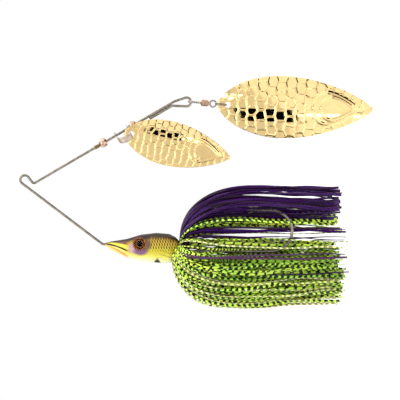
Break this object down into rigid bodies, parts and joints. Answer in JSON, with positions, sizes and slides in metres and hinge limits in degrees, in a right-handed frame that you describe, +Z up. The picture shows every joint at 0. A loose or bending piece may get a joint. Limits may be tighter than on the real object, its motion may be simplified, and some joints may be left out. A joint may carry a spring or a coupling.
{
  "type": "spinnerbait",
  "caption": "Fishing lure on a V-shaped wire: two gold willow-leaf blades on the upper arm, and a painted fish-shaped lead head with a single hook inside a long silicone skirt on the lower arm.",
  "frame": {"origin": "centre of the line-tie bend at the top of the wire frame", "axes": "+Z up along the line as the lure hangs; the wire frame lies in the XZ plane with the blades towards +X and the head, skirt and hook towards -X; the blades bulge towards -Y"},
  "size_m": [0.0936, 0.05, 0.1416],
  "materials": {
    "spring_wire": "drawn stainless wire",
    "stop_solder": "dull",
    "bead_nickel": "polished nickel",
    "nickel": "polished nickel",
    "gold_plate": "mirror gold plate with embossed scales",
    "head_paint": "gloss clear coat over painted lead",
    "hook_steel": "bronzed black nickel",
    "iris": "copper foil",
    "lens": "clear resin dome",
    "collar_rubber": "satin",
    "silicone_purple": "glossy silicone",
    "silicone_chartreuse": "glossy silicone with black bars",
    "silicone_dark": "glossy silicone",
    "silicone_clear": "clear smoke silicone"
  },
  "bodies": {
    "frame": {"wire_frame": "spring_wire", "bead_stop": "stop_solder", "lead_head": "head_paint", "hook": "hook_steel", "eye_iris_near": "iris", "eye_iris_far": "iris", "eye_lens_near": "lens", "eye_lens_far": "lens", "skirt_collar": "collar_rubber", "skirt_purple_top": "silicone_purple", "skirt_chartreuse_near": "silicone_chartreuse", "skirt_chartreuse_far": "silicone_chartreuse", "skirt_chartreuse_belly": "silicone_chartreuse", "skirt_dark_strands": "silicone_dark", "skirt_clear_strands": "silicone_clear"},
    "front_bead": {"front_bead": "bead_nickel"},
    "clevis": {"clevis": "nickel"},
    "rear_bead": {"rear_bead": "bead_nickel"},
    "small_blade": {"small_blade": "gold_plate"},
    "swivel_front": {"swivel_front_eye": "nickel"},
    "swivel_barrel": {"swivel_barrel": "nickel"},
    "swivel_rear": {"swivel_rear_eye": "nickel"},
    "split_ring": {"split_ring": "nickel"},
    "large_blade": {"large_blade": "gold_plate"}
  },
  "joints": [
    {"name": "front_bead_spin", "type": "hinge", "parent": "frame", "child": "front_bead", "pos_m": [0.01475, 0, -0.03146], "axis": [0.5045, 0, -0.8634], "continuous": true},
    {"name": "clevis_spin", "type": "hinge", "parent": "frame", "child": "clevis", "pos_m": [0.01909, 0, -0.03888], "axis": [0.5045, 0, -0.8634], "continuous": true},
    {"name": "rear_bead_spin", "type": "hinge", "parent": "frame", "child": "rear_bead", "pos_m": [0.02166, 0, -0.04329], "axis": [0.5045, 0, -0.8634], "continuous": true},
    {"name": "small_blade_swing", "type": "hinge", "parent": "clevis", "child": "small_blade", "pos_m": [0.01814, -0.00372, -0.04262], "axis": [0, 1, 0], "range_deg": [-4, 13]},
    {"name": "swivel_swing", "type": "hinge", "parent": "frame", "child": "swivel_front", "pos_m": [0.03113, 0, -0.06643], "axis": [0.9968, 0, -0.0802], "range_deg": [-40, 40]},
    {"name": "barrel_spin", "type": "hinge", "parent": "swivel_front", "child": "swivel_barrel", "pos_m": [0.03073, 0, -0.07136], "axis": [-0.0802, 0, -0.9968], "continuous": true},
    {"name": "rear_eye_spin", "type": "hinge", "parent": "swivel_barrel", "child": "swivel_rear", "pos_m": [0.03063, 0, -0.07266], "axis": [-0.0802, 0, -0.9968], "continuous": true},
    {"name": "ring_swing", "type": "hinge", "parent": "swivel_rear", "child": "split_ring", "pos_m": [0.03031, 0, -0.07654], "axis": [0.9968, 0, -0.0802], "range_deg": [-40, 40]},
    {"name": "large_blade_swing", "type": "hinge", "parent": "split_ring", "child": "large_blade", "pos_m": [0.03, 0, -0.08041], "axis": [0, 1, 0], "range_deg": [-25, 20]}
  ]
}
